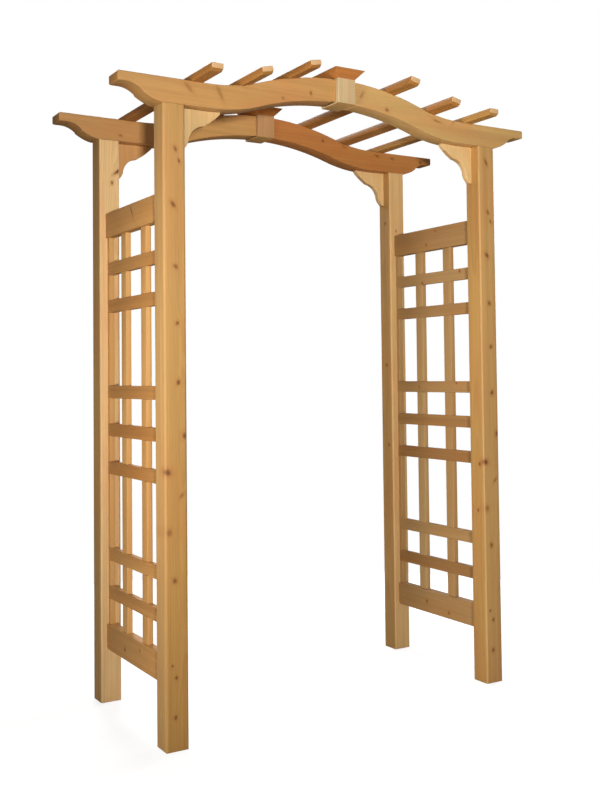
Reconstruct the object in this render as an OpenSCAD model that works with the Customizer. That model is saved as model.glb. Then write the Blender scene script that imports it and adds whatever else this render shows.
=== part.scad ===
// Timber garden arbor: four posts, two arched headers with keystones,
// corner brackets, six cross slats and two lattice side panels.
// Millimetres. X runs along the headers, Y from front to back, Z up;
// the ground is Z = 0 and the origin is the centre of the footprint.

/* [Posts] */
// Side of a square post
post_size = 89; // [75:1:125]
// Height of a post, ground to header seat
post_height = 2330; // [2150:10:2600]
// Clear width between the posts, walking through
clear_width = 1402; // [1100:2:1900]
// Clear depth between front and back post
clear_depth = 572; // [440:2:900]

/* [Headers] */
// Depth of a header board, underside to top
header_height = 93; // [80:1:130]
// Thickness of a header, front to back
header_thick = 89; // [60:1:89]
// Rise of the arch at mid span
arch_rise = 96; // [50:1:130]
// Straight stretch beside each post before the arch starts
arch_margin = 101; // [60:1:160]
// Share of the half arch that is the crown curve
arch_crown_share = 0.64; // [0.50:0.01:0.75]
// Straight seat past the post before the tail shape starts
tail_seat = 8; // [2:1:25]
// Length of the round belly of the tail
tail_belly_length = 68; // [45:1:90]
// Rise of the round belly
tail_belly_rise = 30; // [18:1:32]
// Bow of the round belly
tail_belly_bow = 4; // [1:0.5:8]
// Height of the small step between belly and hollow
tail_quirk = 3; // [1:0.5:5]
// Length of the hollow of the tail
tail_cove_length = 62; // [35:1:80]
// Rise of the hollow
tail_cove_rise = 25; // [8:1:26]
// Bow of the hollow
tail_cove_bow = 6; // [1:0.5:9]
// Length of the straight tip
tail_tip_length = 34; // [20:1:90]
// Radius of the two corners of the tip
tail_tip_radius = 7; // [3:0.5:8]

/* [Keystones] */
// Width of the keystone block along the header
keystone_width = 83; // [60:1:120]
// How far the block stands out of each header face
keystone_proud = 19; // [8:1:30]
// How far the block hangs below the arch at mid span
keystone_drop = 5; // [2:1:25]
// How far the block stands above the header top
keystone_stand = 3; // [1:1:12]
// Height of the flared cap
cap_height = 33; // [25:1:60]
// Flare of the cap on each of its four sides
cap_flare = 30; // [10:1:40]

/* [Corner brackets] */
// Thickness of a bracket, front to back
bracket_thick = 28; // [20:1:36]
// How far a bracket sits behind the front face of its header
bracket_setback = 45; // [20:1:52]
// Reach of a bracket along the header
bracket_reach = 165; // [130:1:210]
// Reach of a bracket down the post
bracket_drop = 160; // [130:1:210]
// Square nib at both ends of the bracket
bracket_nib = 7; // [4:1:12]
// Depth of the hollow in the middle of the bracket
bracket_cove = 17; // [6:1:20]
// Bow of the upper lobe of the bracket
bracket_upper_bow = 3; // [1:0.5:5]
// Bow of the lower lobe of the bracket
bracket_lower_bow = 3; // [1:0.5:5]

/* [Cross slats] */
// Width of a cross slat
slat_width = 47; // [35:1:65]
// Height of a cross slat
slat_height = 28; // [20:1:45]
// Overhang of a slat past the outer face of the header
slat_overhang = 165; // [80:1:260]
// Length of the bevel under a slat end
slat_bevel_length = 14; // [8:1:50]
// Rise of the bevel under a slat end
slat_bevel_rise = 10; // [5:1:16]
// Depth of the flat seat cut for a slat in the header top
slat_seat = 2; // [1:0.5:6]
// Centre of the innermost slats from mid span
slat_first = 232; // [170:1:280]
// Centre of the outermost slats from the inner post face
slat_edge = 52; // [20:1:90]

/* [Side panels] */
// Height of the lower rail above the ground
panel_base = 218; // [80:1:300]
// Drop from the header seat to the top of the upper rail
panel_drop = 312; // [260:1:420]
// Height of a rail
rail_height = 104; // [70:1:130]
// Thickness of a rail
rail_thick = 38; // [30:1:60]
// Width of a lattice bar
lattice_width = 52; // [30:1:60]
// Thickness of the lattice
lattice_thick = 22; // [14:1:28]
// Small gap between crossbars
small_gap = 104; // [70:1:112]
// Distance between the centres of the two uprights
upright_spacing = 206; // [130:1:260]
// Width of the stile along each post face
stile_width = 22; // [12:1:35]

/* [Hidden] */
fine = 720;
round_fn = 96;
post_x = clear_width / 2 + post_size / 2;
post_y = clear_depth / 2 + post_size / 2;
outer_x = clear_width / 2 + post_size;
seat_z = post_height;
arch_half = clear_width / 2 - arch_margin;
arch_angle = 2 * atan(arch_rise / arch_half);
arch_bend = arch_half * arch_crown_share;
crown_r = arch_bend / sin(arch_angle);
spring_r = (arch_half - arch_bend) / sin(arch_angle);
tail_rise = tail_belly_rise + tail_quirk + tail_cove_rise;
belly_end = outer_x + tail_seat + tail_belly_length;
cove_end = belly_end + tail_cove_length;
header_half = cove_end + tail_tip_length;
block_low = seat_z + arch_rise - keystone_drop;
block_top = seat_z + arch_rise + header_height + keystone_stand;
block_depth = header_thick + 2 * keystone_proud;
slat_outer = clear_width / 2 - slat_edge;
slat_places = [slat_first, (slat_first + slat_outer) / 2, slat_outer];
slat_half = post_y + header_thick / 2 + slat_overhang;
lattice_base = panel_base + rail_height;
lattice_top = post_height - panel_drop - rail_height;
large_gap = (lattice_top - lattice_base - 7 * lattice_width - 6 * small_gap) / 2;
bar_step = lattice_width + small_gap;
group_step = lattice_width + large_gap;
bar_lows = [
    lattice_base + small_gap,
    lattice_base + small_gap + bar_step,
    lattice_base + small_gap + bar_step + group_step,
    lattice_base + small_gap + 2 * bar_step + group_step,
    lattice_base + small_gap + 3 * bar_step + group_step,
    lattice_base + small_gap + 3 * bar_step + 2 * group_step,
    lattice_base + small_gap + 4 * bar_step + 2 * group_step
];
wood_post = [0.80, 0.63, 0.41];
wood_header = [0.77, 0.57, 0.33];
wood_block = [0.84, 0.70, 0.50];
wood_slat = [0.70, 0.45, 0.24];
wood_panel = [0.74, 0.52, 0.30];

// Height of the arch curve above its springing at distance x
function arch_z(x) =
    abs(x) <= arch_bend ? arch_rise - crown_r + sqrt(pow(crown_r, 2) - x * x) :
    abs(x) < arch_half ?
        spring_r - sqrt(pow(spring_r, 2) - pow(arch_half - abs(x), 2)) : 0;

// Slope of the arch curve at distance x, in degrees
function arch_slope(x) =
    abs(x) <= arch_bend ? asin(abs(x) / crown_r) :
    abs(x) < arch_half ? asin((arch_half - abs(x)) / spring_r) : 0;

module boxed(low, high) {
    translate(low) cube(high - low);
}

// Right half of the region under the arch curve, x to the right, y up
module under_arch(floor_y) {
    translate([0, floor_y]) {
        intersection() {
            square([arch_bend, arch_rise - floor_y + 40]);
            translate([0, arch_rise - crown_r - floor_y]) circle(r = crown_r, $fn = fine);
        }
        translate([arch_bend, 0]) difference() {
            square([arch_half - arch_bend, spring_r * 0.9 - floor_y]);
            translate([arch_half - arch_bend, spring_r - floor_y])
                circle(r = spring_r, $fn = fine);
        }
        translate([arch_half, 0]) square([header_half - arch_half, -floor_y]);
    }
}

// Points from a to b along an arc bowed by rise to the left of a to b
function bow(a, b, rise, steps = 10) =
    let (chord = norm(b - a), along = (b - a) / chord, left = [-along[1], along[0]],
        r = (chord * chord / 4 + rise * rise) / (2 * rise),
        swing = asin(min(1, chord / (2 * r))))
    [for (i = [1:steps]) let (t = swing * (2 * i / steps - 1))
        a + along * (chord / 2 + r * sin(t)) + left * (rise - r + r * cos(t))];

// Material removed under a header tail to leave belly, step and hollow
module tail_waste() {
    start = outer_x + tail_seat;
    step_low = [belly_end, tail_belly_rise];
    step_high = [belly_end, tail_belly_rise + tail_quirk];
    polygon(concat(
        [[start, -20], [start, 0]],
        bow([start, 0], step_low, -tail_belly_bow, 14), [step_high],
        bow(step_high, [cove_end, tail_rise], tail_cove_bow, 14),
        [[header_half + 20, tail_rise], [header_half + 20, -20]]
    ));
}

module corner_waste() {
    difference() {
        square(tail_tip_radius + 5);
        circle(r = tail_tip_radius, $fn = round_fn);
    }
}

module header_outline() {
    difference() {
        translate([0, header_height]) under_arch(-header_height - 60);
        under_arch(-80);
        tail_waste();
        translate([header_half - tail_tip_radius, header_height - tail_tip_radius])
            corner_waste();
        translate([header_half - tail_tip_radius, tail_rise + tail_tip_radius])
            mirror([0, 1]) corner_waste();
        translate([-5, -5])
            square([5 + keystone_width / 2, arch_rise + header_height + 50]);
    }
}

module slat_outline() {
    polygon([
        [-slat_half + slat_bevel_length, 0], [slat_half - slat_bevel_length, 0],
        [slat_half, slat_bevel_rise], [slat_half, slat_height],
        [-slat_half, slat_height], [-slat_half, slat_bevel_rise]
    ]);
}

// One slat lying on the arch at the given place; side is -1 left, 1 right
module slat_at(place, side) {
    translate([side * place, 0, seat_z + header_height + arch_z(place)])
        rotate([0, side * arch_slope(place), 0])
            translate([-slat_width / 2, 0, -slat_seat])
                rotate([90, 0, 90])
                    linear_extrude(height = slat_width) slat_outline();
}

module right_header() {
    rotate([90, 0, 0]) translate([0, 0, -header_thick / 2])
        linear_extrude(height = header_thick)
            translate([0, seat_z]) header_outline();
}

// depth_side is -1 for the front header, 1 for the back one
module header(side, depth_side) {
    color(wood_header) difference() {
        translate([0, depth_side * post_y, 0])
            mirror([side < 0 ? 1 : 0, 0, 0]) right_header();
        for (place = slat_places) slat_at(place, side);
    }
}

module post(side, depth_side) {
    color(wood_post)
        translate([side * post_x - post_size / 2, depth_side * post_y - post_size / 2, 0])
            cube([post_size, post_size, post_height]);
}

module keystone(depth_side) {
    color(wood_block)
        translate([-keystone_width / 2, depth_side * post_y - block_depth / 2, block_low])
            cube([keystone_width, block_depth, block_top - block_low]);
}

module flared_slab(low_width, length) {
    linear_extrude(height = length)
        polygon([
            [-low_width / 2, 0], [low_width / 2, 0],
            [low_width / 2 + cap_flare, cap_height],
            [-low_width / 2 - cap_flare, cap_height]
        ]);
}

module keystone_cap(depth_side) {
    reach = max(block_depth, keystone_width) + 4 * cap_flare;
    color(wood_block) translate([0, depth_side * post_y, block_top]) intersection() {
        rotate([90, 0, 0]) translate([0, 0, -reach / 2])
            flared_slab(keystone_width, reach);
        rotate([90, 0, 90]) translate([0, 0, -reach / 2])
            flared_slab(block_depth, reach);
    }
}

// Bracket outline: x away from the post, y down from the header seat; its
// top follows the underside of the header
module bracket_outline() {
    tip = [bracket_reach, bracket_nib];
    upper = [0.59 * bracket_reach, 0.37 * bracket_drop];
    lower = [0.20 * bracket_reach, 0.79 * bracket_drop];
    toe = [bracket_nib, bracket_drop];
    flat = min(arch_margin, bracket_reach - 1);
    top = [for (i = [0:8]) let (x = flat + (bracket_reach - flat) * i / 8)
        [x, -arch_z(clear_width / 2 - x)]];
    polygon(concat(
        [[0, 0]], top, [tip], bow(tip, upper, -bracket_upper_bow),
        bow(upper, lower, bracket_cove), bow(lower, toe, -bracket_lower_bow),
        [[0, bracket_drop]]
    ));
}

module bracket(side, depth_side) {
    back_y = depth_side * post_y - header_thick / 2 + bracket_setback + bracket_thick;
    color(wood_block)
        translate([0, back_y, seat_z]) mirror([side < 0 ? 1 : 0, 0, 0])
            rotate([90, 0, 0])
                linear_extrude(height = bracket_thick)
                    translate([clear_width / 2, 0]) rotate(180) bracket_outline();
}

module rail(side, low) {
    color(wood_panel)
        translate([side * post_x - rail_thick / 2, -clear_depth / 2, low])
            cube([rail_thick, clear_depth, rail_height]);
}

// A standing bar of the lattice, halved on its left side at each crossbar
module standing_bar(side, low_y, width) {
    left = side * post_x - lattice_thick / 2;
    difference() {
        boxed([left, low_y, lattice_base], [left + lattice_thick, low_y + width, lattice_top]);
        for (low = bar_lows)
            boxed([left - 5, low_y - 5, low], [left + lattice_thick / 2, low_y + width + 5,
                low + lattice_width]);
    }
}

module stile(side, depth_side) {
    color(wood_panel)
        standing_bar(side, depth_side < 0 ? -clear_depth / 2 : clear_depth / 2 - stile_width,
            stile_width);
}

module uprights(side) {
    color(wood_panel) for (s = [-1, 1])
        standing_bar(side, s * upright_spacing / 2 - lattice_width / 2, lattice_width);
}

// The crossbars keep their left half where they pass a standing bar
module crossbars(side) {
    left = side * post_x - lattice_thick / 2;
    mid = left + lattice_thick / 2;
    right = left + lattice_thick;
    color(wood_panel) for (low = bar_lows) difference() {
        boxed([left, -clear_depth / 2, low], [right, clear_depth / 2, low + lattice_width]);
        for (s = [-1, 1])
            boxed([mid, s * upright_spacing / 2 - lattice_width / 2, low - 5],
                [right + 5, s * upright_spacing / 2 + lattice_width / 2,
                    low + lattice_width + 5]);
        boxed([mid, -clear_depth / 2 - 5, low - 5],
            [right + 5, -clear_depth / 2 + stile_width, low + lattice_width + 5]);
        boxed([mid, clear_depth / 2 - stile_width, low - 5],
            [right + 5, clear_depth / 2 + 5, low + lattice_width + 5]);
    }
}

module post_front_left() post(-1, -1);
module post_front_right() post(1, -1);
module post_back_left() post(-1, 1);
module post_back_right() post(1, 1);
module header_front_left() header(-1, -1);
module header_front_right() header(1, -1);
module header_back_left() header(-1, 1);
module header_back_right() header(1, 1);
module keystone_front() keystone(-1);
module keystone_back() keystone(1);
module keystone_cap_front() keystone_cap(-1);
module keystone_cap_back() keystone_cap(1);
module bracket_front_left() bracket(-1, -1);
module bracket_front_right() bracket(1, -1);
module bracket_back_left() bracket(-1, 1);
module bracket_back_right() bracket(1, 1);
module cross_slat_1() color(wood_slat) slat_at(slat_places[2], -1);
module cross_slat_2() color(wood_slat) slat_at(slat_places[1], -1);
module cross_slat_3() color(wood_slat) slat_at(slat_places[0], -1);
module cross_slat_4() color(wood_slat) slat_at(slat_places[0], 1);
module cross_slat_5() color(wood_slat) slat_at(slat_places[1], 1);
module cross_slat_6() color(wood_slat) slat_at(slat_places[2], 1);
module top_rail_left() rail(-1, lattice_top);
module top_rail_right() rail(1, lattice_top);
module bottom_rail_left() rail(-1, panel_base);
module bottom_rail_right() rail(1, panel_base);
module stile_front_left() stile(-1, -1);
module stile_back_left() stile(-1, 1);
module stile_front_right() stile(1, -1);
module stile_back_right() stile(1, 1);
module uprights_left() uprights(-1);
module uprights_right() uprights(1);
module crossbars_left() crossbars(-1);
module crossbars_right() crossbars(1);

post_front_left();
post_front_right();
post_back_left();
post_back_right();
header_front_left();
header_front_right();
header_back_left();
header_back_right();
keystone_front();
keystone_back();
keystone_cap_front();
keystone_cap_back();
bracket_front_left();
bracket_front_right();
bracket_back_left();
bracket_back_right();
cross_slat_1();
cross_slat_2();
cross_slat_3();
cross_slat_4();
cross_slat_5();
cross_slat_6();
top_rail_left();
top_rail_right();
bottom_rail_left();
bottom_rail_right();
stile_front_left();
stile_back_left();
stile_front_right();
stile_back_right();
uprights_left();
uprights_right();
crossbars_left();
crossbars_right();
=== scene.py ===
"""Timber garden arbor: the wood finish, the eased boards, the studio and the camera."""
import math
import random

import bmesh
import bpy
import numpy as np
from mathutils import Matrix, Vector


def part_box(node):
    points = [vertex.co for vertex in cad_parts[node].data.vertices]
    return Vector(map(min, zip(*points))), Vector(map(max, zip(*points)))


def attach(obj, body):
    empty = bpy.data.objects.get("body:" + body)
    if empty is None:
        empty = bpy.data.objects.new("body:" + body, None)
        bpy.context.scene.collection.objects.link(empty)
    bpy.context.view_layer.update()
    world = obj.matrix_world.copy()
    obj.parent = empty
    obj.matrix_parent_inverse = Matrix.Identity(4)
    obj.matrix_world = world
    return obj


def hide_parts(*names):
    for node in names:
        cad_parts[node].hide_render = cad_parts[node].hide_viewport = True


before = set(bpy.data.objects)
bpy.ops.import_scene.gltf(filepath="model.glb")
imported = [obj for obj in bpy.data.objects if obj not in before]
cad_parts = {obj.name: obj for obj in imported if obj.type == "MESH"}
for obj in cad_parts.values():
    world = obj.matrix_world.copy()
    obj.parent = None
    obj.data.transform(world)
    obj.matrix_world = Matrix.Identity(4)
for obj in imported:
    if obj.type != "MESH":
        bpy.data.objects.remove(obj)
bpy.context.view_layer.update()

MM = 0.001
X, Y, Z = Vector((1, 0, 0)), Vector((0, 1, 0)), Vector((0, 0, 1))
SIDES = ("left", "right")
ENDS = ("front", "back")

# Points closer than this are one, faces that turn less are one flat, sharper edges are eased
MERGED = 0.02 * MM
FLAT = math.radians(0.2)
SHARP = math.radians(25)

# How nearly an edge or a normal has to lie along a direction, and a normal along the grain
ALIGNED = 0.9
END_FACE = 0.75

# How far each kind of board has its arrises rounded over
POST_ARRIS = 9 * MM
POST_FOOT_ARRIS = 3 * MM
HEADER_ARRIS = 3 * MM
BLOCK_ARRIS = 2 * MM
BRACKET_ARRIS = 3 * MM
SLAT_ARRIS = 3 * MM
RAIL_ARRIS = 4 * MM
LATTICE_ARRIS = 1.5 * MM
ARRIS_STEPS = 4

# The marks in a log: how long each is along the trunk, and how wide across it. Fibres are far
# finer in life and the rings a little finer; they are drawn so coarse to show on a whole arbor
PITH_WANDER = (1111 * MM, 500 * MM)
RING_WAVE = (200 * MM, 33.33 * MM)
STREAK = (1000 * MM, 16.13 * MM)
BLOTCH = (384.6 * MM, 90.9 * MM)
FIBRE = (71.43 * MM, 1.43 * MM)

# Growth rings: their width, how far apart good and poor years lie and how much they differ in
# rings, how far the pith drifts, and how far the rings wave and swell round a knot
RING_WIDTH = 5 * MM
WEATHER_SPELL = 16.67 * MM
WEATHER_RINGS = 1.6
PITH_DRIFT = 50 * MM
WAVE_HEIGHT = 6 * MM
KNOT_SWELL = 7 * MM

# Knots: the tone of the mark and of the wood round it, how ragged the edge is, and by how many
# times its size a knot goes into the board: right through, or not far where an arris is near
KNOT_BROWN = "#643A14"
KNOT_HALO = "#A0642A"
RAGGED_LUMP = 7.14 * MM
RAGGED_REACH = 8 * MM
THROUGH = 20
SHALLOW = 2

# Oil leaves a low satin gleam, a little glossier on the hard latewood
SATIN = 0.6
SATIN_RANGE = 0.06
RELIEF_DEPTH = 0.3 * MM

# Every board is cut somewhere along a log of so many metres, and so far from its pith: within a
# range across it and a range through it, or at a set place for the first of a row of boards
LOG_LENGTH = 40
PITH = {
    "post": ((-30 * MM, 30 * MM), (20 * MM, 50 * MM)),
    "header": ((30 * MM, 70 * MM), (-160 * MM, -100 * MM)),
    "keystone": ((50 * MM, 90 * MM), (-50 * MM, 50 * MM)),
    "bracket": ((60 * MM, 100 * MM), (-50 * MM, 50 * MM)),
    "panel": ((30 * MM, 80 * MM), (20 * MM, 60 * MM)),
}
SLAT_PITH = (20 * MM, 50 * MM)
BAR_PITH = (30 * MM, 40 * MM)

# The other boards of a row are cut from further along and a little aside, each in its own tone
ROW_SPREAD = (LOG_LENGTH, 30 * MM, 30 * MM)
ROW_TONE_LUCK = 0.35
SLAT_SEED = 3
PANEL_SEED = 11

# How much of the deeper toned heartwood each board shows, from 0 to 1; the others go by luck.
# It is partly each board's own tone and partly painted shade: higher values darken and warm
# boards that stand in shade, such as the back header's right half and the back-left bracket
HEARTWOOD_AND_SHADE = {
    "post_front_left": 0.95, "post_front_right": 0.7,
    "post_back_left": 0.0, "post_back_right": 0.3,
    "header_front_left": 0.4, "header_front_right": 0.05,
    "header_back_left": 0.4, "header_back_right": 0.85,
    "keystone_front": 0.0, "keystone_cap_front": 0.9, "keystone_back": 0.7, "keystone_cap_back": 1.0,
    "bracket_front_left": 0.0, "bracket_front_right": 0.0,
    "bracket_back_left": 0.6, "bracket_back_right": 0.0,
    "top_rail_left": 0.3, "bottom_rail_left": 0.35, "top_rail_right": 0.45, "bottom_rail_right": 0.35,
    "uprights_left": 0.0, "crossbars_left": 0.4, "uprights_right": 0.05, "crossbars_right": 0.55,
    "cross_slat_1": 0.5,
}

# Painted light: one post is painted paler towards its head, where the light falls brighter
HEAD_PAINTED_LIGHT = {"post_front_left": 0.75}

# Painted light and shade: each post's left face gets its own tone, darker where that face stands
# in shade and paler on the front-left post, where it is lit
LEFT_FACE_LIGHT_AND_SHADE = {
    "post_front_left": 0.65, "post_front_right": 0.85, "post_back_left": 0.7, "post_back_right": 0.75,
}


# ---------------------------------------------------------------- nodes and colours

def add(tree, kind, links=None, **settings):
    """Add a node with its settings, and link or fill each of its inputs."""
    node = tree.nodes.new(kind)
    for name, value in settings.items():
        setattr(node, name, value)
    for name, value in (links or {}).items():
        if isinstance(value, bpy.types.NodeSocket):
            tree.links.new(value, node.inputs[name])
        else:
            node.inputs[name].default_value = value
    return node


def paint(code):
    """A colour written as sRGB hex, as linear red, green, blue and alpha."""
    parts = [int(code[i:i + 2], 16) / 255 for i in (1, 3, 5)]
    return [p / 12.92 if p <= 0.04045 else ((p + 0.055) / 1.055) ** 2.4 for p in parts] + [1.0]


def scale_for(mark):
    """The scale at which a pattern's marks are so long along the trunk and so wide across it."""
    long, wide = mark
    return (1 / long, 1 / wide, 1 / wide)


# ---------------------------------------------------------------- how the wood is figured

def growth_figure():
    """Growth rings, streaks and fibres of one softwood log.

    Grain is a point in the log in metres: X along the trunk, Y and Z across it from the
    pith. Swell pushes the rings outwards round a knot.
    """
    tree = bpy.data.node_groups.new("growth_figure", "ShaderNodeTree")
    face = tree.interface
    face.new_socket("Grain", in_out="INPUT", socket_type="NodeSocketVector")
    face.new_socket("Swell", in_out="INPUT", socket_type="NodeSocketFloat")
    for name in ("Latewood", "Ring tone", "Streak", "Blotch", "Fibre"):
        face.new_socket(name, in_out="OUTPUT", socket_type="NodeSocketFloat")
    given = add(tree, "NodeGroupInput").outputs
    grain = given["Grain"]

    # The trunk is never straight: its pith wanders a little over a metre or two
    slow = add(tree, "ShaderNodeVectorMath", {0: grain, 1: scale_for(PITH_WANDER)}, operation="MULTIPLY")
    wander = add(tree, "ShaderNodeTexNoise", {"Vector": slow.outputs[0], "Scale": 1.0, "Detail": 1.0})
    centred = add(tree, "ShaderNodeVectorMath",
                  {0: wander.outputs["Color"], 1: (0.5, 0.5, 0.5)}, operation="SUBTRACT")
    drift = add(tree, "ShaderNodeVectorMath",
                {0: centred.outputs[0], 1: (0.0, PITH_DRIFT, PITH_DRIFT)}, operation="MULTIPLY")
    moved = add(tree, "ShaderNodeVectorMath", {0: grain, 1: drift.outputs[0]}, operation="ADD")
    across = add(tree, "ShaderNodeVectorMath",
                 {0: moved.outputs[0], 1: (0.0, 1.0, 1.0)}, operation="MULTIPLY")
    radius = add(tree, "ShaderNodeVectorMath", {0: across.outputs[0]}, operation="LENGTH")

    # Small waves in the rings, and their bulge round a knot
    wavy = add(tree, "ShaderNodeVectorMath", {0: grain, 1: scale_for(RING_WAVE)}, operation="MULTIPLY")
    wave = add(tree, "ShaderNodeTexNoise", {"Vector": wavy.outputs[0], "Scale": 1.0, "Detail": 3.0})
    waved = add(tree, "ShaderNodeMath",
                {0: wave.outputs["Fac"], 1: WAVE_HEIGHT, 2: radius.outputs["Value"]},
                operation="MULTIPLY_ADD")
    swollen = add(tree, "ShaderNodeMath",
                  {0: given["Swell"], 1: KNOT_SWELL, 2: waved.outputs[0]}, operation="MULTIPLY_ADD")

    # The rings, some years wider than others: soft early wood, then a late line that ends sharply
    years = add(tree, "ShaderNodeMath", {0: swollen.outputs[0], 1: 1 / RING_WIDTH}, operation="MULTIPLY")
    weather = add(tree, "ShaderNodeTexNoise",
                  {"W": swollen.outputs[0], "Scale": 1 / WEATHER_SPELL, "Detail": 1.0},
                  noise_dimensions="1D")
    uneven = add(tree, "ShaderNodeMath",
                 {0: weather.outputs["Fac"], 1: WEATHER_RINGS, 2: years.outputs[0]},
                 operation="MULTIPLY_ADD")
    season = add(tree, "ShaderNodeMath", {0: uneven.outputs[0]}, operation="FRACT")
    year = add(tree, "ShaderNodeMath", {0: uneven.outputs[0]}, operation="FLOOR")
    summer = add(tree, "ShaderNodeMapRange",
                 {"Value": season.outputs[0], "From Min": 0.30, "From Max": 0.90},
                 interpolation_type="SMOOTHSTEP")
    winter = add(tree, "ShaderNodeMapRange",
                 {"Value": season.outputs[0], "From Min": 1.0, "From Max": 0.93})
    latewood = add(tree, "ShaderNodeMath",
                   {0: summer.outputs[0], 1: winter.outputs[0]}, operation="MULTIPLY")
    tone = add(tree, "ShaderNodeTexWhiteNoise", {"W": year.outputs[0]}, noise_dimensions="1D")
    figure = {"Latewood": latewood.outputs[0], "Ring tone": tone.outputs["Value"]}

    # What runs through the rings: long streaks, blotches of a hand's breadth and fine fibres
    for name, mark in (("Streak", STREAK), ("Blotch", BLOTCH), ("Fibre", FIBRE)):
        sized = add(tree, "ShaderNodeVectorMath", {0: grain, 1: scale_for(mark)}, operation="MULTIPLY")
        soft = add(tree, "ShaderNodeTexNoise", {"Vector": sized.outputs[0], "Scale": 1.0, "Detail": 2.0})
        figure[name] = soft.outputs["Fac"]
    add(tree, "NodeGroupOutput", figure)
    return tree


def knot_mark():
    """One knot: a branch that runs into the board at Place, Size metres in radius.

    Turn stands the knot upright, and Reach then squeezes the distance along the branch and
    along the knot's length, so that the mark goes into the board and is longer than wide.
    """
    tree = bpy.data.node_groups.new("knot_mark", "ShaderNodeTree")
    face = tree.interface
    for name in ("Position", "Place", "Turn", "Reach"):
        face.new_socket(name, in_out="INPUT", socket_type="NodeSocketVector")
    for name in ("Size", "Depth"):
        face.new_socket(name, in_out="INPUT", socket_type="NodeSocketFloat")
    for name in ("Swell", "Heart"):
        face.new_socket(name, in_out="INPUT", socket_type="NodeSocketFloat")
        face.new_socket(name, in_out="OUTPUT", socket_type="NodeSocketFloat")
    given = add(tree, "NodeGroupInput").outputs
    away = add(tree, "ShaderNodeVectorMath",
               {0: given["Position"], 1: given["Place"]}, operation="SUBTRACT")
    upright = add(tree, "ShaderNodeVectorRotate",
                  {"Vector": away.outputs[0], "Rotation": given["Turn"]}, rotation_type="EULER_XYZ")
    squeezed = add(tree, "ShaderNodeVectorMath",
                   {0: upright.outputs[0], 1: given["Reach"]}, operation="MULTIPLY")
    length = add(tree, "ShaderNodeVectorMath", {0: squeezed.outputs[0]}, operation="LENGTH")
    steps = add(tree, "ShaderNodeMath",
                {0: length.outputs["Value"], 1: given["Size"]}, operation="DIVIDE")

    # The wood swells from three times the knot's size inwards; the brown heart ends sooner
    marks = {}
    for name, rim, core in (("Swell", 3.2, 0.5), ("Heart", 1.6, 0.3)):
        mark = add(tree, "ShaderNodeMapRange",
                   {"Value": steps.outputs[0], "From Min": rim, "From Max": core},
                   interpolation_type="SMOOTHSTEP")
        deep = add(tree, "ShaderNodeMath",
                   {0: mark.outputs[0], 1: given["Depth"]}, operation="MULTIPLY")
        marks[name] = add(tree, "ShaderNodeMath", {0: given[name], 1: deep.outputs[0]},
                          operation="MAXIMUM").outputs[0]
    add(tree, "NodeGroupOutput", marks)
    return tree


GROWTH_FIGURE = growth_figure()
KNOT_MARK = knot_mark()


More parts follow.
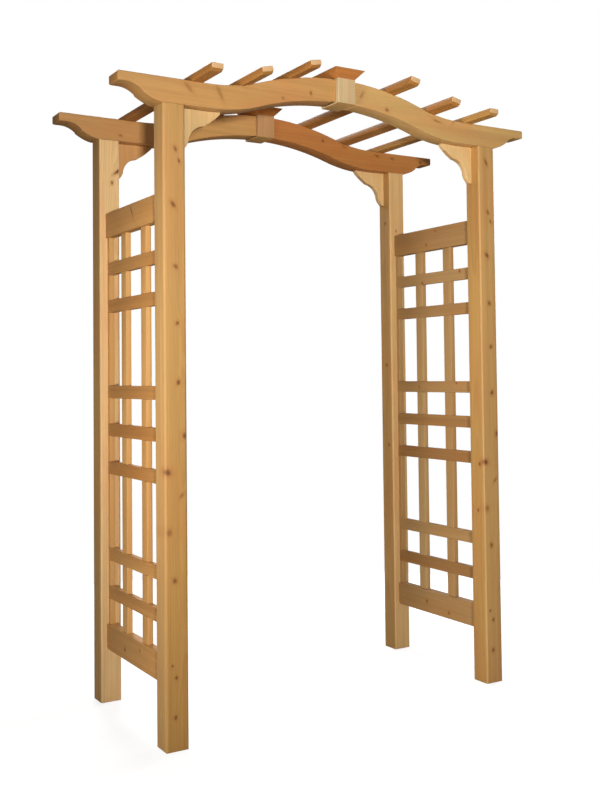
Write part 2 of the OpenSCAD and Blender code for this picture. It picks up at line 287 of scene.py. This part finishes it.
def oiled_cedar(name, early, late, warm, heart, end, knots=(), rings=0.3):
    """Planed and oiled cedar: honey earlywood, browner latewood, small tight knots.

    The eye sees long soft streaks, cathedral figure where a face cuts the rings flat,
    cut ends in their own tone and a low satin gleam on the rounded arrises. Rings says
    how strongly the latewood shows.
    """
    material = bpy.data.materials.new(name)
    material.use_nodes = True
    tree = material.node_tree
    tree.nodes.clear()
    grain = add(tree, "ShaderNodeAttribute", attribute_name="grain").outputs["Vector"]
    board = add(tree, "ShaderNodeAttribute", attribute_name="heartwood").outputs["Fac"]
    cut_end = add(tree, "ShaderNodeAttribute", attribute_name="end_grain").outputs["Fac"]
    place = add(tree, "ShaderNodeTexCoord").outputs["Object"]

    # No knot is quite round: its edge wanders by a millimetre or two
    ragged = add(tree, "ShaderNodeTexNoise", {"Vector": place, "Scale": 1 / RAGGED_LUMP, "Detail": 2.0})
    centred = add(tree, "ShaderNodeVectorMath",
                  {0: ragged.outputs["Color"], 1: (0.5, 0.5, 0.5)}, operation="SUBTRACT")
    wandered = add(tree, "ShaderNodeVectorMath",
                   {0: centred.outputs[0], 1: (RAGGED_REACH, RAGGED_REACH, RAGGED_REACH), 2: place},
                   operation="MULTIPLY_ADD")
    marks = {"Swell": 0.0, "Heart": 0.0}
    for mark in knots:
        one = add(tree, "ShaderNodeGroup", node_tree=KNOT_MARK)
        for socket, value in {**mark, **marks, "Position": wandered.outputs[0]}.items():
            if isinstance(value, bpy.types.NodeSocket):
                tree.links.new(value, one.inputs[socket])
            else:
                one.inputs[socket].default_value = value
        marks = {socket: one.outputs[socket] for socket in marks}
    figure = add(tree, "ShaderNodeGroup", node_tree=GROWTH_FIGURE)
    tree.links.new(grain, figure.inputs["Grain"])
    if knots:
        tree.links.new(marks["Swell"], figure.inputs["Swell"])
    seen = figure.outputs

    # Colour: latewood over earlywood, warm blotches, streaks, then the knots and cut ends
    ringed = add(tree, "ShaderNodeMath", {0: seen["Latewood"], 1: rings}, operation="MULTIPLY")
    wood = add(tree, "ShaderNodeMix", {0: ringed.outputs[0], 6: paint(early), 7: paint(late)},
               data_type="RGBA").outputs[2]
    warmth = add(tree, "ShaderNodeMapRange",
                 {"Value": seen["Blotch"], "From Min": 0.38, "From Max": 0.70, "To Max": 0.8},
                 interpolation_type="SMOOTHSTEP")
    wood = add(tree, "ShaderNodeMix", {0: warmth.outputs[0], 6: wood, 7: paint(warm)},
               data_type="RGBA").outputs[2]
    streaks = add(tree, "ShaderNodeMapRange",
                  {"Value": seen["Streak"], "From Min": 0.30, "From Max": 0.70,
                   "To Min": 1.07, "To Max": 0.92})
    years = add(tree, "ShaderNodeMapRange",
                {"Value": seen["Ring tone"], "To Min": 0.97, "To Max": 1.03})
    fibres = add(tree, "ShaderNodeMapRange",
                 {"Value": seen["Fibre"], "From Min": 0.25, "From Max": 0.75,
                  "To Min": 0.93, "To Max": 1.06})
    level = streaks.outputs[0]
    for part in (years, fibres):
        level = add(tree, "ShaderNodeMath", {0: level, 1: part.outputs[0]},
                    operation="MULTIPLY").outputs[0]
    wood = add(tree, "ShaderNodeVectorMath", {0: wood, "Scale": level}, operation="SCALE").outputs[0]
    # The heartwood tint is partly real tone and partly painted shade: it darkens and warms boards and
    # post faces that stand in shade
    wood = add(tree, "ShaderNodeMix", {0: board, 6: wood, 7: paint(heart)},
               data_type="RGBA", blend_type="MULTIPLY").outputs[2]
    if knots:
        halo = add(tree, "ShaderNodeMath", {0: marks["Swell"], 1: 0.6}, operation="MULTIPLY")
        wood = add(tree, "ShaderNodeMix", {0: halo.outputs[0], 6: wood, 7: paint(KNOT_HALO)},
                   data_type="RGBA").outputs[2]
        wood = add(tree, "ShaderNodeMix", {0: marks["Heart"], 6: wood, 7: paint(KNOT_BROWN)},
                   data_type="RGBA").outputs[2]
    # Cut ends take their own tone; on the headers it is darker as painted shade, and on the slats paler,
    # partly as painted light
    dressed = add(tree, "ShaderNodeMath", {0: cut_end, 1: 0.8}, operation="MULTIPLY")
    wood = add(tree, "ShaderNodeMix", {0: dressed.outputs[0], 6: wood, 7: paint(end)},
               data_type="RGBA").outputs[2]

    # Relief: hard latewood stands a little proud of the earlywood, and the fibres lift
    relief = add(tree, "ShaderNodeMath",
                 {0: seen["Latewood"], 1: 0.5, 2: seen["Fibre"]}, operation="MULTIPLY_ADD")
    bump = add(tree, "ShaderNodeBump",
               {"Height": relief.outputs[0], "Strength": 0.25, "Distance": RELIEF_DEPTH})
    gleam = add(tree, "ShaderNodeMapRange",
                {"Value": relief.outputs[0], "From Max": 1.5,
                 "To Min": SATIN + SATIN_RANGE, "To Max": SATIN - SATIN_RANGE})
    shader = add(tree, "ShaderNodeBsdfPrincipled", {
        "Base Color": wood, "Roughness": gleam.outputs[0], "Normal": bump.outputs[0],
        "IOR": 1.45, "Metallic": 0.0,
    })
    add(tree, "ShaderNodeOutputMaterial", {"Surface": shader.outputs[0]})
    return material


def front_knot(node, across, up, size, long=1.3, lean=0, depth=0.9, through=THROUGH):
    """A knot on a board's front face, so far across and up the arbor in metres.

    Size is its radius in metres. It is some times as long as wide, and its top leans so
    many degrees to the left. One of little depth is only a faint brown mark.
    """
    return {"Place": (across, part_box(node)[0].y, up), "Turn": (0, math.radians(lean), 0),
            "Reach": (1, 1 / through, 1 / long), "Size": size, "Depth": depth}


def side_knot(node, back, up, size, long=1.3, lean=0, depth=0.9):
    """A knot on a board's left face, so far back and up the arbor, otherwise as a front one."""
    return {"Place": (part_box(node)[0].x, back, up), "Turn": (math.radians(lean), 0, 0),
            "Reach": (1 / THROUGH, 1, 1 / long), "Size": size, "Depth": depth}


def front_post_knots():
    """The same knots come up both front posts, a little wider apart up the left one.

    A row says how far from the post's middle and how high the knot sits, then its size,
    length, lean and depth. One beside an arris goes only a little way in, so that it marks
    the side face by no more than a spot.
    """
    rising = [
        (-0.003, 2.26, 0.006, 2.4, 30, 0.7), (0.004, 2.04, 0.006, 1.6, 20, 0.7),
        (0.018, 2.00, 0.004, 2.0, 20, 0.8), (-0.006, 1.85, 0.007, 1.8, 35, 0.8),
        (0.003, 1.64, 0.007, 1.3, 40, 0.7), (0.008, 1.45, 0.006, 1.2, -30, 0.8),
        (0.010, 1.25, 0.007, 1.3, -20, 0.9), (0.034, 1.07, 0.009, 1.2, 0, 0.8),
        (-0.034, 0.95, 0.010, 1.3, 70, 0.9), (0.020, 0.87, 0.005, 2.4, -40, 0.5),
        (-0.028, 0.75, 0.010, 1.2, 0, 0.5), (-0.008, 0.59, 0.007, 1.3, 0, 0.8),
        (-0.020, 0.31, 0.004, 1.0, 0, 1.0), (-0.004, 0.27, 0.005, 1.3, 0, 0.9),
        (-0.008, 0.14, 0.006, 1.3, 0, 0.8),
    ]
    beside_arris = 0.03
    knots = []
    for side, lowered, spacing in (("left", 0.03, 1.075), ("right", 0.0, 1.0)):
        node = f"post_front_{side}"
        low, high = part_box(node)
        middle = (low.x + high.x) / 2
        for across, up, size, long, lean, depth in rising:
            through = SHALLOW if abs(across) > beside_arris else THROUGH
            knots.append(front_knot(node, middle + across, spacing * up - lowered,
                                    size, long, lean, depth, through))
    return knots


def post_cedar():
    """Posts: straw to honey wood with small round knots."""
    knots = front_post_knots() + [
        side_knot("post_front_right", -0.350, 0.94, 0.007, 1.2, 30),
        side_knot("post_front_right", -0.334, 0.74, 0.005),
        side_knot("post_back_right", 0.325, 2.08, 0.006, 1.2),
        side_knot("post_back_right", 0.325, 1.38, 0.006, 1.2, 60),
        side_knot("post_back_right", 0.317, 0.99, 0.005),
        front_knot("post_back_right", 0.746, 1.37, 0.005, 1.2),
        front_knot("post_back_right", 0.739, 2.04, 0.004, 1.5, 0, 0.6),
        front_knot("post_back_left", -0.710, 2.20, 0.005, 3.5, -50),
        front_knot("post_back_left", -0.735, 2.15, 0.005, 1.3, 0, 0.8),
    ]
    return oiled_cedar("oiled_cedar_posts", "#D9B27A", "#BC9052", "#D6A670",
                       "#C1AC76", "#A87A46", knots)


def header_cedar():
    """Headers: wide golden boards, smooth, with slanting spike knots."""
    knots = [
        front_knot("header_front_left", -0.686, 2.396, 0.007, 3.0, 45, 0.35),
        front_knot("header_front_left", -0.558, 2.393, 0.007, 4.0, 25, 0.35),
        front_knot("header_front_left", -0.286, 2.410, 0.004, 1.4, 40, 0.5),
        front_knot("header_front_left", -0.158, 2.446, 0.005, 1.3, 0, 0.7),
        front_knot("header_front_right", 0.087, 2.471, 0.005, 3.5, -30, 0.35),
        front_knot("header_front_right", 0.211, 2.425, 0.006, 1.3, 70, 0.6),
        front_knot("header_front_right", 0.473, 2.411, 0.004, 5.0, 75, 0.5),
        front_knot("header_front_right", 0.570, 2.430, 0.004, 5.0, -30, 0.5),
        front_knot("header_back_left", -0.696, 2.354, 0.005, 1.5, 80, 0.6),
        front_knot("header_back_right", 0.317, 2.443, 0.006, 1.2),
        front_knot("header_back_right", 0.437, 2.427, 0.004, 3.0, 70, 0.6),
        front_knot("header_back_right", 0.630, 2.403, 0.004, 3.0, 70, 0.8),
        front_knot("header_back_right", 0.721, 2.398, 0.006, 1.5, 80, 0.7),
        front_knot("header_back_right", 0.895, 2.395, 0.006),
    ]
    # Their cut ends are painted a darker brown, as painted shade
    return oiled_cedar("oiled_cedar_headers", "#BE975B", "#A68044", "#C08E56",
                       "#E0B080", "#A06E38", knots, rings=0.15)


def bracket_cedar():
    """Brackets: pale cream sapwood without knots."""
    return oiled_cedar("oiled_cedar_brackets", "#D0AC76", "#C4965A", "#D0A86C",
                       "#E0B48C", "#B88A54", rings=0.2)


def keystone_cedar():
    """Keystone blocks: the palest wood, greyed a little, with the grain standing upright."""
    return oiled_cedar("oiled_cedar_keystones", "#BCA278", "#AC8A58", "#BC9C70",
                       "#E0B48C", "#B88A48", rings=0.2)


def slat_cedar():
    """Cross slats: golden-brown wood whose deep warm tone is partly painted shade, with pale cut ends
    that are partly painted light.
    """
    return oiled_cedar("oiled_cedar_slats", "#B68C4A", "#9A6E34", "#B48242",
                       "#D8B084", "#D0A878")


def panel_cedar(side):
    """Rails and lattice, each bar its own tone: golden at the left, a duller brown at the right."""
    knots = [
        side_knot("top_rail_right", 0.034, 1.942, 0.005, 1.2),
        side_knot("top_rail_right", -0.035, 2.000, 0.004),
        side_knot("crossbars_right", 0.077, 1.766, 0.005),
        side_knot("crossbars_right", -0.195, 1.798, 0.005),
        side_knot("crossbars_right", 0.112, 1.272, 0.004),
        side_knot("crossbars_right", -0.161, 1.292, 0.004),
        side_knot("bottom_rail_right", 0.067, 0.270, 0.006, 1.2),
        side_knot("bottom_rail_right", -0.093, 0.245, 0.005),
        side_knot("top_rail_left", -0.005, 1.985, 0.003, 8.0, 30, 0.8),
        side_knot("bottom_rail_left", 0.087, 0.260, 0.005),
        side_knot("bottom_rail_left", -0.068, 0.290, 0.004),
    ]
    early, late, warm = {
        "left": ("#CE9C5C", "#AC7E40", "#CA9250"),
        "right": ("#AE8A58", "#907040", "#AC824C"),
    }[side]
    return oiled_cedar(f"oiled_cedar_panel_{side}", early, late, warm, "#CEAC80", "#97693A", knots)


# ---------------------------------------------------------------- boards from the frame

def board_form(node):
    """A merged copy of a CAD piece with its flat faces made whole again."""
    form = bmesh.new()
    form.from_mesh(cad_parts[node].data)
    bmesh.ops.remove_doubles(form, verts=form.verts, dist=MERGED)
    bmesh.ops.dissolve_limit(form, angle_limit=FLAT, verts=form.verts, edges=form.edges)
    return form


def one_solid(form, axis):
    """Keep the first of a form's separate solids along an axis; return where each one was."""
    solids, seen = [], set()
    for start in form.verts:
        if start in seen:
            continue
        solid, queue = [], [start]
        seen.add(start)
        while queue:
            vert = queue.pop()
            solid.append(vert)
            for edge in vert.link_edges:
                other = edge.other_vert(vert)
                if other not in seen:
                    seen.add(other)
                    queue.append(other)
        solids.append(solid)
    solids.sort(key=lambda solid: sum(v.co.dot(axis) for v in solid) / len(solid))
    centres = [(Vector(map(min, *(v.co for v in s))) + Vector(map(max, *(v.co for v in s)))) / 2
               for s in solids]
    spare = [v for s in solids[1:] for v in s]
    bmesh.ops.delete(form, geom=spare, context="VERTS")
    return centres


def eased(form, name, arris):
    """Round a form's sharp edges; arris gives each edge's rounding in metres. Returns an object."""
    weight = form.edges.layers.float.new("bevel_weight_edge")
    sharp = [edge for edge in form.edges if edge.calc_face_angle(0) > SHARP]
    widest = max(arris(edge) for edge in sharp)
    for face in form.faces:
        face.smooth = True
    for edge in sharp:
        edge[weight] = arris(edge) / widest
        edge.smooth = arris(edge) > 0
    mesh = bpy.data.meshes.new(name)
    form.to_mesh(mesh)
    form.free()
    board = bpy.data.objects.new(name, mesh)
    bpy.context.scene.collection.objects.link(board)
    bevel = board.modifiers.new("arris", "BEVEL")
    bevel.width = widest
    bevel.segments = ARRIS_STEPS
    bevel.limit_method = "WEIGHT"
    bevel.use_clamp_overlap = False
    bevel.harden_normals = True
    return finished(board)


def finished(board):
    """Turn an object with modifiers into a plain mesh object of the same name."""
    name = board.name
    bpy.context.view_layer.update()
    whole = board.evaluated_get(bpy.context.evaluated_depsgraph_get())
    mesh = bpy.data.meshes.new_from_object(whole)
    old = board.data
    bpy.data.objects.remove(board)
    bpy.data.meshes.remove(old)
    mesh.name = name
    piece = bpy.data.objects.new(name, mesh)
    bpy.context.scene.collection.objects.link(piece)
    return piece


def lay_grain(piece, along, pith, luck, node):
    """Store where every point lies in the log: along the trunk, and across it from the pith.

    With it goes how much heartwood the node's board shows, partly painted light and shade, and which
    faces are cut ends.
    """
    across = Y if abs(along.y) < 0.5 else X
    through = along.cross(across)
    places = np.empty(len(piece.data.vertices) * 3)
    piece.data.vertices.foreach_get("co", places)
    places = places.reshape(-1, 3)
    middle = (places.min(0) + places.max(0)) / 2
    turned = (places - middle) @ np.array([along, across, through]).T
    turned += [luck.uniform(0, LOG_LENGTH), *pith]
    grain = piece.data.attributes.new("grain", "FLOAT_VECTOR", "POINT")
    grain.data.foreach_set("vector", turned.astype(np.float32).ravel())

    # Each board's tone is partly its own and partly painted shade; one post is painted paler towards its
    # head, and each post's left face lighter or darker, as painted light and shade
    heart = HEARTWOOD_AND_SHADE.get(node, luck.uniform(0.1, 0.6))
    height = places[:, 2] - places[:, 2].min()
    tone_and_shade = heart + (HEAD_PAINTED_LIGHT.get(node, heart) - heart) * height / height.max()
    painted_left_face = places[:, 0] < places[:, 0].min() + MM
    tone_and_shade[painted_left_face] = LEFT_FACE_LIGHT_AND_SHADE.get(node, heart)
    tone = piece.data.attributes.new("heartwood", "FLOAT", "POINT")
    tone.data.foreach_set("value", tone_and_shade.astype(np.float32))

    ends = piece.data.attributes.new("end_grain", "FLOAT", "FACE")
    ends.data.foreach_set("value", [float(abs(face.normal.dot(along)) > END_FACE)
                                    for face in piece.data.polygons])


def dress(piece, slot, material, *nodes):
    """Give a finished piece its wood and let it stand for its CAD nodes."""
    piece.data.materials.clear()
    piece.data.materials.append(material)
    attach(piece, "root")
    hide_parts(*nodes)


def make_board(node, kind, arris, along, luck, slot, material):
    """Ease the arrises of a CAD board, cut it from the log as its kind is, and dress it."""
    pith = [luck.uniform(*span) for span in PITH[kind]]
    board = eased(board_form(node), f"{node}_wood", arris)
    lay_grain(board, along, pith, luck, node)
    dress(board, slot, material, node)


def set_boards_tree():
    """Geometry nodes that lay one board on every seat, each cut from another part of a log."""
    tree = bpy.data.node_groups.new("set_boards", "GeometryNodeTree")
    face = tree.interface
    for name, kind in (("Seats", "Geometry"), ("Board", "Object"), ("Log spread", "Vector"),
                       ("Tone luck", "Float"), ("Seed", "Int"), ("Wood", "Material")):
        face.new_socket(name, in_out="INPUT", socket_type=f"NodeSocket{kind}")
    face.new_socket("Boards", in_out="OUTPUT", socket_type="NodeSocketGeometry")
    given = add(tree, "NodeGroupInput").outputs
    own = {}
    for name, kind in (("lean", "FLOAT"), ("grain", "FLOAT_VECTOR"), ("log_shift", "FLOAT_VECTOR"),
                       ("heartwood", "FLOAT"), ("board_luck", "FLOAT")):
        own[name] = add(tree, "GeometryNodeInputNamedAttribute", {"Name": name},
                        data_type=kind).outputs["Attribute"]

    # A board on every seat, leaning as its seat says
    angles = add(tree, "ShaderNodeCombineXYZ", {"Y": own["lean"]})
    turn = add(tree, "FunctionNodeEulerToRotation", {"Euler": angles.outputs[0]})
    board = add(tree, "GeometryNodeObjectInfo", {"Object": given["Board"]})
    laid = add(tree, "GeometryNodeInstanceOnPoints", {
        "Points": given["Seats"], "Instance": board.outputs["Geometry"],
        "Rotation": turn.outputs[0],
    })

    # Each board gets its own place in the log and its own tone
    shift = add(tree, "FunctionNodeRandomValue",
                {"Max": given["Log spread"], "Seed": given["Seed"]}, data_type="FLOAT_VECTOR")
    shifted = add(tree, "GeometryNodeStoreNamedAttribute", {
        "Geometry": laid.outputs[0], "Name": "log_shift", "Value": shift.outputs["Value"],
    }, data_type="FLOAT_VECTOR", domain="INSTANCE")
    least = add(tree, "ShaderNodeMath", {0: given["Tone luck"], 1: -1.0}, operation="MULTIPLY")
    chance = add(tree, "FunctionNodeRandomValue", {
        "Min": least.outputs[0], "Max": given["Tone luck"], "Seed": given["Seed"],
    }, data_type="FLOAT")
    lucky = add(tree, "GeometryNodeStoreNamedAttribute", {
        "Geometry": shifted.outputs[0], "Name": "board_luck", "Value": chance.outputs[1],
    }, data_type="FLOAT", domain="INSTANCE")
    real = add(tree, "GeometryNodeRealizeInstances", {"Geometry": lucky.outputs[0]})
    whole = add(tree, "ShaderNodeVectorMath", {0: own["grain"], 1: own["log_shift"]}, operation="ADD")
    grained = add(tree, "GeometryNodeStoreNamedAttribute", {
        "Geometry": real.outputs[0], "Name": "grain", "Value": whole.outputs[0],
    }, data_type="FLOAT_VECTOR", domain="POINT")
    # The heartwood tone, partly painted shade, takes each board's own luck
    heart = add(tree, "ShaderNodeMath", {0: own["heartwood"], 1: own["board_luck"]},
                operation="ADD", use_clamp=True)
    toned = add(tree, "GeometryNodeStoreNamedAttribute", {
        "Geometry": grained.outputs[0], "Name": "heartwood", "Value": heart.outputs[0],
    }, data_type="FLOAT", domain="POINT")
    clean = toned.outputs[0]
    for spare in ("log_shift", "board_luck"):
        clean = add(tree, "GeometryNodeRemoveAttribute", {"Geometry": clean, "Name": spare}).outputs[0]
    wood = add(tree, "GeometryNodeSetMaterial", {"Geometry": clean, "Material": given["Wood"]})
    add(tree, "NodeGroupOutput", {"Boards": wood.outputs[0]})
    return tree


SET_BOARDS = set_boards_tree()


def set_boards(name, board, seats, leans, seed, material):
    """Lay copies of a board on its seats with geometry nodes, and return them as one piece."""
    points = bpy.data.meshes.new(name)
    points.from_pydata([tuple(seat) for seat in seats], [], [])
    lean = points.attributes.new("lean", "FLOAT", "POINT")
    lean.data.foreach_set("value", leans)
    carrier = bpy.data.objects.new(name, points)
    bpy.context.scene.collection.objects.link(carrier)
    modifier = carrier.modifiers.new("boards", "NODES")
    modifier.node_group = SET_BOARDS
    values = {"Board": board, "Log spread": ROW_SPREAD, "Tone luck": ROW_TONE_LUCK,
              "Seed": seed, "Wood": material}
    for item in SET_BOARDS.interface.items_tree:
        if item.in_out == "INPUT" and item.name in values:
            modifier[item.identifier] = values[item.name]
    boards = finished(carrier)
    spare = board.data
    bpy.data.objects.remove(board)
    bpy.data.meshes.remove(spare)
    return boards


# ---------------------------------------------------------------- the arbor's own pieces

def flat_face_arris(width):
    """Round only the edges round a board's two flat sides, which face front and back."""
    def arris(edge):
        return width if any(abs(face.normal.y) > ALIGNED for face in edge.link_faces) else 0.0
    return arris


def posts(material, luck):
    """Four square posts: broad rounding up the sides, a small one at head and foot."""
    def arris(edge):
        upright = abs((edge.verts[0].co - edge.verts[1].co).normalized().z) > ALIGNED
        return POST_ARRIS if upright else POST_FOOT_ARRIS
    for end in ENDS:
        for side in SIDES:
            make_board(f"post_{end}_{side}", "post", arris, Z, luck, "post_wood", material)


def headers(material, luck):
    """Four header halves, their grain running straight along the span."""
    arris = flat_face_arris(HEADER_ARRIS)
    for end in ENDS:
        for side in SIDES:
            make_board(f"header_{end}_{side}", "header", arris, X, luck, "header_wood", material)


def keystones(block_wood, cap_wood, luck):
    """A block and a flared cap over the middle of each header."""
    for end in ENDS:
        for piece, along, material in (("keystone", Z, block_wood), ("keystone_cap", X, cap_wood)):
            make_board(f"{piece}_{end}", "keystone", lambda edge: BLOCK_ARRIS, along, luck,
                       "pale_wood", material)


def brackets(material, luck):
    """Four scrolled corner brackets, their grain standing upright."""
    arris = flat_face_arris(BRACKET_ARRIS)
    for end in ENDS:
        for side in SIDES:
            make_board(f"bracket_{end}_{side}", "bracket", arris, Z, luck, "pale_wood", material)


def cross_slats(material, luck):
    """Six bevelled slats, each leaning with the arch under it."""
    nodes = [f"cross_slat_{number}" for number in range(1, 7)]
    seats, leans = [], []
    for node in nodes:
        low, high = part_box(node)
        seats.append((low + high) / 2)
        form = board_form(node)
        top = max((face for face in form.faces if face.normal.z > 0.5), key=lambda f: f.calc_area())
        leans.append(math.atan2(top.normal.x, top.normal.z))
        form.free()
    form = board_form(nodes[0])
    bmesh.ops.translate(form, verts=form.verts, vec=-seats[0])
    bmesh.ops.rotate(form, verts=form.verts, cent=(0, 0, 0), matrix=Matrix.Rotation(-leans[0], 3, "Y"))
    board = eased(form, "slat_board", lambda edge: SLAT_ARRIS)
    lay_grain(board, Y, SLAT_PITH, luck, nodes[0])
    slats = set_boards("cross_slats_wood", board, seats, leans, SLAT_SEED, material)
    dress(slats, "slat_wood", material, *nodes)


def side_panels(luck):
    """Two lattice panels: rails, stiles, and halved uprights and crossbars."""
    for number, side in enumerate(SIDES):
        material = panel_cedar(side)
        framing = [(f"{rail}_{side}", RAIL_ARRIS, Y) for rail in ("top_rail", "bottom_rail")]
        framing += [(f"stile_{end}_{side}", LATTICE_ARRIS, Z) for end in ENDS]
        for node, width, along in framing:
            make_board(node, "panel", lambda edge: width, along, luck, "panel_wood", material)
        for bars, along, stack in (("uprights", Z, Y), ("crossbars", Y, Z)):
            node = f"{bars}_{side}"
            form = board_form(node)
            seats = one_solid(form, stack)
            bmesh.ops.translate(form, verts=form.verts, vec=-seats[0])
            board = eased(form, f"{bars}_board", lambda edge: LATTICE_ARRIS)
            lay_grain(board, along, BAR_PITH, luck, node)
            level = [0.0] * len(seats)
            lattice = set_boards(f"{node}_wood", board, seats, level, PANEL_SEED + number, material)
            dress(lattice, "panel_wood", material, node)


# ---------------------------------------------------------------- studio and camera

def studio_world():
    """White behind the arbor; on it, an even pale light from above and little from below."""
    world = bpy.data.worlds.new("studio")
    bpy.context.scene.world = world
    world.use_nodes = True
    tree = world.node_tree
    tree.nodes.clear()
    way = add(tree, "ShaderNodeTexCoord").outputs["Generated"]
    height = add(tree, "ShaderNodeSeparateXYZ", {0: way}).outputs["Z"]
    level = add(tree, "ShaderNodeMapRange",
                {"Value": height, "From Min": -0.25, "From Max": 0.6, "To Min": 0.05, "To Max": 0.28},
                interpolation_type="SMOOTHSTEP")
    light = add(tree, "ShaderNodeBackground", {"Color": (1, 1, 1, 1), "Strength": level.outputs[0]})
    white = add(tree, "ShaderNodeBackground", {"Color": (1, 1, 1, 1), "Strength": 1.0})
    seen = add(tree, "ShaderNodeLightPath").outputs["Is Camera Ray"]
    both = add(tree, "ShaderNodeMixShader", {0: seen, 1: light.outputs[0], 2: white.outputs[0]})
    add(tree, "ShaderNodeOutputWorld", {"Surface": both.outputs[0]})


def studio_floor():
    """A pale round floor that keeps a faint shadow and fades into the white towards its rim."""
    rim, fade_from, fade_to = 2.6, 1.1, 2.4
    form = bmesh.new()
    bmesh.ops.create_circle(form, cap_ends=True, segments=96, radius=rim)
    mesh = bpy.data.meshes.new("studio_floor")
    form.to_mesh(mesh)
    form.free()
    floor = bpy.data.objects.new("studio_floor", mesh)
    bpy.context.scene.collection.objects.link(floor)
    material = bpy.data.materials.new("matt_white_floor")
    material.use_nodes = True
    tree = material.node_tree
    tree.nodes.clear()
    place = add(tree, "ShaderNodeTexCoord").outputs["Object"]
    radius = add(tree, "ShaderNodeVectorMath", {0: place}, operation="LENGTH")
    white = add(tree, "ShaderNodeMapRange",
                {"Value": radius.outputs["Value"], "From Min": fade_from, "From Max": fade_to,
                 "To Min": 0.78, "To Max": 1.0}, interpolation_type="SMOOTHSTEP")

    # The arbor gets only a matt grey bounce; the eye sees white, a little darker in the shadow
    matt = add(tree, "ShaderNodeBsdfDiffuse", {"Color": paint("#9C9C98")})
    soft = add(tree, "ShaderNodeBsdfDiffuse", {"Color": paint("#9C9C9C")})
    glow = add(tree, "ShaderNodeEmission", {"Color": (1, 1, 1, 1), "Strength": white.outputs[0]})
    shown = add(tree, "ShaderNodeAddShader", {0: soft.outputs[0], 1: glow.outputs[0]})
    seen = add(tree, "ShaderNodeLightPath").outputs["Is Camera Ray"]
    both = add(tree, "ShaderNodeMixShader", {0: seen, 1: matt.outputs[0], 2: shown.outputs[0]})
    add(tree, "ShaderNodeOutputMaterial", {"Surface": both.outputs[0]})
    mesh.materials.append(material)


def softbox(name, place, aim, size, power, spread=90):
    """A square soft light at a place, turned to its aim; a grid narrows its spread."""
    light = bpy.data.lights.new(name, "AREA")
    light.shape = "SQUARE"
    light.size = size
    light.energy = power
    light.spread = math.radians(spread)
    lamp = bpy.data.objects.new(name, light)
    lamp.location = place
    lamp.rotation_euler = (Vector(aim) - Vector(place)).to_track_quat("-Z", "Y").to_euler()
    bpy.context.scene.collection.objects.link(lamp)


def studio_lights():
    """A low key behind the camera, and softer lights from the left, the back and the right."""
    softbox("key_light", (-2.9, -6.7, 1.0), aim=(0.35, 0, 2.8), size=0.4, power=84, spread=76)
    softbox("left_light", (-3.0, -1.4, 1.35), aim=(0.7, -1.5, 1.2), size=0.8, power=34)
    softbox("back_light", (0.6, 4.4, 4.8), aim=(0, 0, 1.4), size=1.6, power=60)
    softbox("right_light", (5.2, 1.8, 2.8), aim=(0, 0, 1.4), size=1.2, power=50)


def camera():
    """Chest height, out in front at the left, looking across the arbor to its far right post."""
    lens = bpy.data.cameras.new("camera")
    lens.lens = 46.1
    lens.sensor_width = 36.0
    lens.shift_y = -0.0743
    stand = (-2.259, -3.753, 1.336)
    pan, tilt, roll = -31.11, 2.05, -0.61
    eye = bpy.data.objects.new("camera", lens)
    turn = (Matrix.Rotation(math.radians(pan), 4, "Z")
            @ Matrix.Rotation(math.radians(90 + tilt), 4, "X")
            @ Matrix.Rotation(math.radians(roll), 4, "Z"))
    eye.matrix_world = Matrix.Translation(stand) @ turn
    bpy.context.scene.collection.objects.link(eye)
    bpy.context.scene.camera = eye


camera()
studio_world()
studio_floor()
studio_lights()
bpy.context.scene.view_settings.view_transform = "Standard"

luck = random.Random(7)
posts(post_cedar(), luck)
header_wood = header_cedar()
headers(header_wood, luck)
keystones(keystone_cedar(), header_wood, luck)
brackets(bracket_cedar(), luck)
cross_slats(slat_cedar(), luck)
side_panels(luck)
